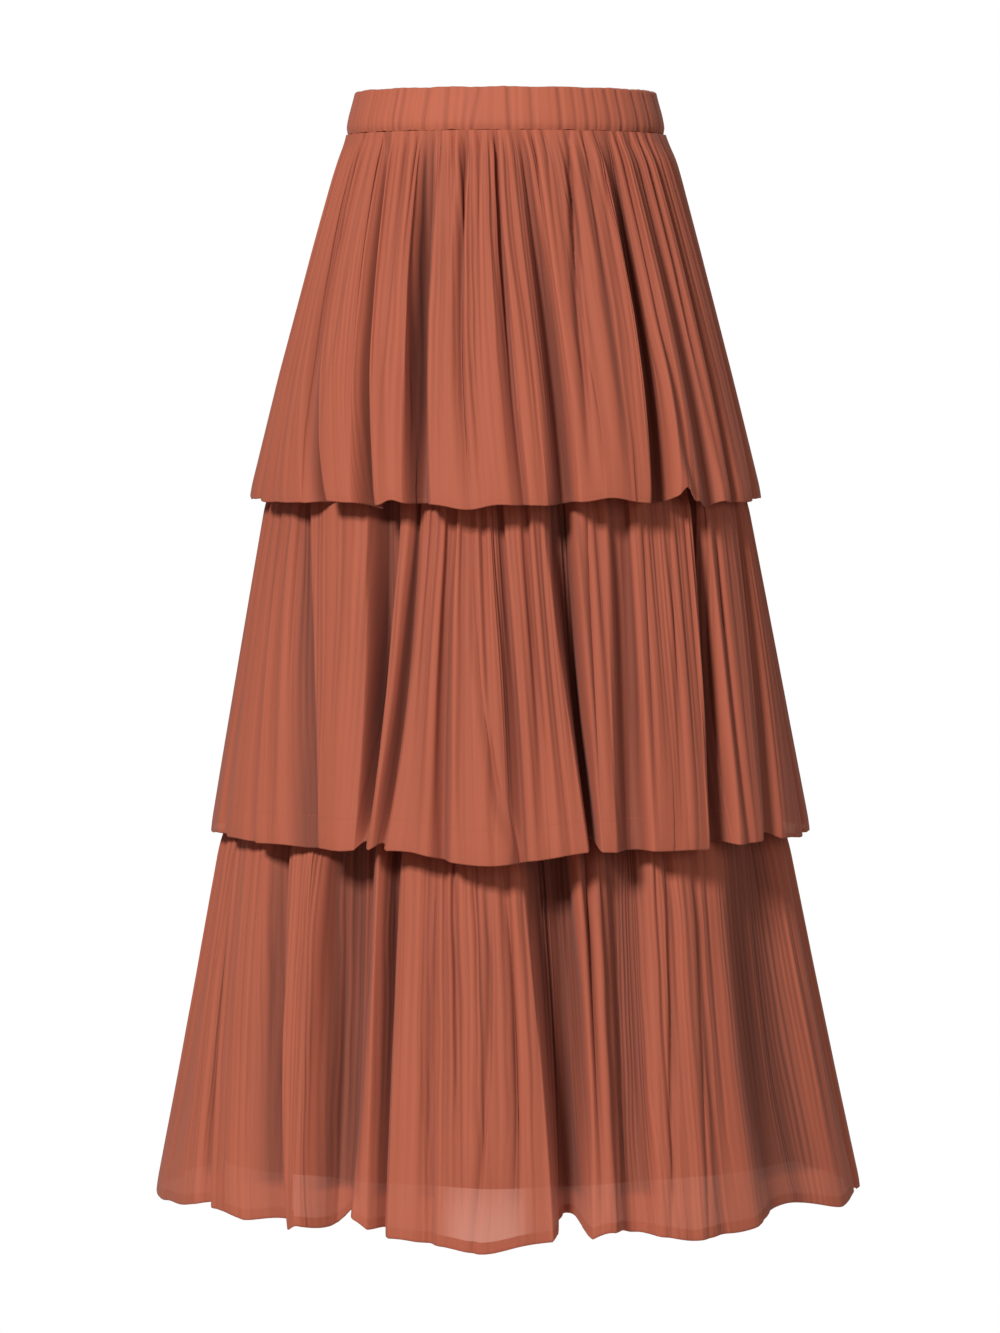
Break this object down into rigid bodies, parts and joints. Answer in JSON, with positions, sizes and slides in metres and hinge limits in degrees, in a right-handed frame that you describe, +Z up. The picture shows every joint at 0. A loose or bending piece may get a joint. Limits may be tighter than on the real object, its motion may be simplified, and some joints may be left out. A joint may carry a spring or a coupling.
{
  "type": "tiered ruffle skirt",
  "caption": "Hollow worn-form midi skirt: elastic waistband over overlapping gathered chiffon tiers on a plain lining, open at waist and hem.",
  "frame": {"origin": "centre of the waistband's loop, halfway up the band, where the wearer's waist holds the skirt", "axes": "+Z up along the wearer, +X to the right of the skirt as seen from the front, the front faces -Y"},
  "size_m": [0.5906, 0.5134, 0.9207],
  "materials": {
    "waistband_chiffon": "gathered chiffon over elastic, soft matt",
    "crinkle_chiffon": "fine crinkle-pleated chiffon, soft sheen",
    "sheer_chiffon": "fine crinkle-pleated chiffon, slightly see-through",
    "lining_cloth": "plain woven lining, matt"
  },
  "bodies": {
    "root": {"waistband": "waistband_chiffon", "tier_1_front": "crinkle_chiffon", "tier_1_back": "crinkle_chiffon", "tier_2_front": "crinkle_chiffon", "tier_2_back": "crinkle_chiffon", "tier_3_front": "sheer_chiffon", "tier_3_back": "sheer_chiffon", "lining_front": "lining_cloth", "lining_back": "lining_cloth"}
  },
  "joints": []
}
